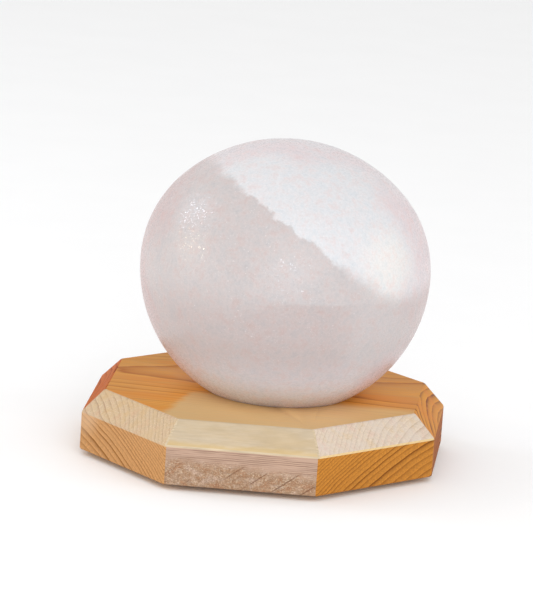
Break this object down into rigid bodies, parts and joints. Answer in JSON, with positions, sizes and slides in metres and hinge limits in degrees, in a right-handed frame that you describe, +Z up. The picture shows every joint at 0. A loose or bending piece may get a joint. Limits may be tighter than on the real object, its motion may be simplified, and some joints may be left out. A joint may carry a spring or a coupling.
{
  "type": "salt lamp",
  "caption": "Table lamp: ground ball of frosted white rock salt on a chamfered octagonal pine board, with a small screw-cap bulb in a clip-in holder inside.",
  "frame": {"origin": "on the table, under the middle of the wooden board", "axes": "+Z up, -Y to the front as pictured, +X to the right"},
  "size_m": [0.161, 0.1612, 0.146],
  "materials": {
    "salt": "matte",
    "pine": "satin",
    "rubber": "matte",
    "zinc_steel": "satin",
    "spring_steel": "polished",
    "nylon": "matte",
    "black_thermoset": "satin",
    "core_plastic": "matte",
    "brass": "satin",
    "cap_metal": "satin",
    "black_glass": "gloss",
    "solder": "satin",
    "frosted_glass": "satin",
    "clear_glass": "gloss",
    "nickel_wire": "satin",
    "tungsten": "satin"
  },
  "bodies": {
    "lamp": {"wooden_base": "pine", "salt_ball": "salt", "base_screws": "zinc_steel", "screw_plugs": "nylon", "foot_front_left": "rubber", "foot_front_right": "rubber", "foot_rear_left": "rubber", "foot_rear_right": "rubber"},
    "lamp_holder": {"holder_cap": "black_thermoset", "holder_skirt": "black_thermoset", "holder_core": "core_plastic", "holder_shell": "brass", "centre_contact": "brass", "terminal_blocks": "brass", "terminal_screws": "zinc_steel", "threaded_nipple": "zinc_steel", "lock_nut": "zinc_steel", "clip_plate": "spring_steel"},
    "spring_arm_right": {"clip_arm_right": "spring_steel"},
    "spring_arm_left": {"clip_arm_left": "spring_steel"},
    "bulb": {"bulb_cap": "cap_metal", "bulb_insulator": "black_glass", "bulb_contact": "solder", "bulb_glass": "frosted_glass", "bulb_stem": "clear_glass", "bulb_leads": "nickel_wire", "bulb_supports": "nickel_wire", "bulb_filament": "tungsten"}
  },
  "joints": [
    {"name": "holder_pull", "type": "slide", "parent": "lamp", "child": "lamp_holder", "axis": [0, 0, -1], "range_m": [0, 0.112]},
    {"name": "bulb_unscrew", "type": "slide", "parent": "lamp_holder", "child": "bulb", "axis": [0, 0, 1], "range_m": [0, 0.017]},
    {"name": "squeeze_right", "type": "hinge", "parent": "lamp_holder", "child": "spring_arm_right", "pos_m": [0.0174, -0.0042, 0.0164], "axis": [0, -1, 0], "range_deg": [0, 5], "stiffness_Nm_per_rad": 1},
    {"name": "squeeze_left", "type": "hinge", "parent": "lamp_holder", "child": "spring_arm_left", "pos_m": [-0.0078, -0.0042, 0.0164], "axis": [0, 1, 0], "range_deg": [0, 5], "stiffness_Nm_per_rad": 1}
  ]
}
